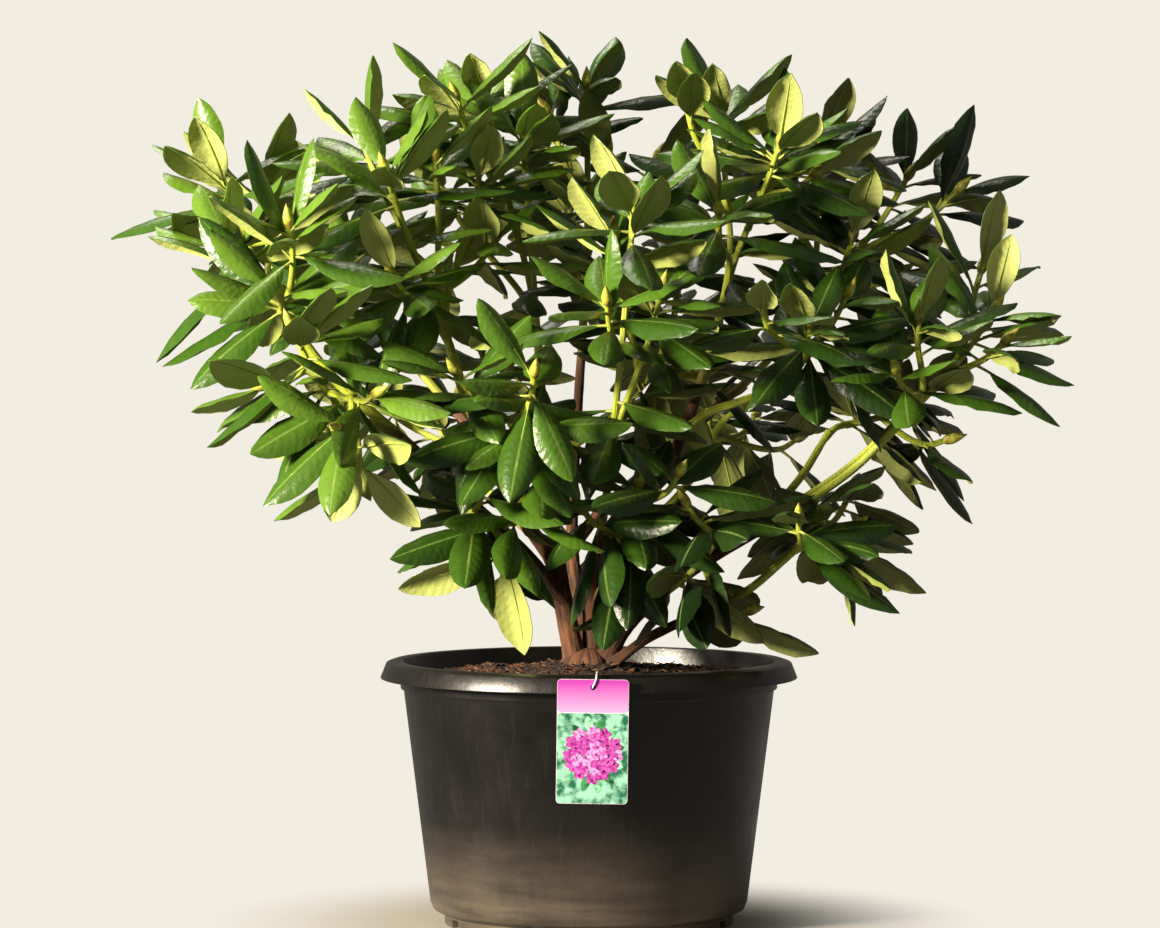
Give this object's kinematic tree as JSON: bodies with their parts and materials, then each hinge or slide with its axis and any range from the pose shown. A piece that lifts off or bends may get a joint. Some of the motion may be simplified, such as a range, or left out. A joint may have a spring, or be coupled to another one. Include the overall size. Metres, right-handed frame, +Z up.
{
  "type": "potted rhododendron",
  "caption": "Broad evergreen catawba rhododendron, glossy leaves in whorls round pointed buds, in a round black nursery container with a blank-worded picture label on its lip",
  "frame": {"origin": "Middle of the container's flat underside, on the ground", "axes": "+Z up, +X to the viewer's right in the picture, -Y towards the viewer"},
  "size_m": [0.9521, 0.7586, 0.8996],
  "materials": {
    "pot_plastic": "satin black with dusty scuffs, glossier lip",
    "compost": "matt dark peat with bark chips",
    "label_card": "glossy printed card",
    "label_tie": "satin white",
    "bark": "rough fibrous brown bark, smoother and greener outwards",
    "foliage": "glossy leathery leaves with paler undersides"
  },
  "bodies": {
    "root": {"back_centre_bough": "bark", "back_left_bough": "bark", "back_left_spray": "foliage", "back_low_left_bough": "bark", "back_low_left_spray": "foliage", "back_low_right_bough": "bark", "back_low_right_spray": "foliage", "back_right_bough": "bark", "back_right_spray": "foliage", "back_stem": "bark", "back_top_spray": "foliage", "centre_bough": "bark", "centre_spray": "foliage", "front_bough": "bark", "front_left_bough": "bark", "front_left_spray": "foliage", "inner_right_bough": "bark", "inner_right_spray": "foliage", "label_card": "label_card", "label_tie": "label_tie", "left_bough": "bark", "left_low_bough": "bark", "left_low_spray": "foliage", "left_spray": "foliage", "left_stem": "bark", "low_left_bough": "bark", "low_left_spray": "foliage", "low_middle_bough": "bark", "low_middle_spray": "foliage", "low_right_bough": "bark", "low_right_spray": "foliage", "middle_bough": "bark", "middle_spray": "foliage", "middle_stem": "bark", "pot": "pot_plastic", "right_bough": "bark", "right_front_bough": "bark", "right_front_spray": "foliage", "right_mid_bough": "bark", "right_mid_spray": "foliage", "right_spray": "foliage", "root_crown": "bark", "soil": "compost", "top_left_spray": "foliage", "top_right_spray": "foliage", "upper_left_bough": "bark", "upper_left_spray": "foliage", "upper_right_bough": "bark"}
  },
  "joints": []
}
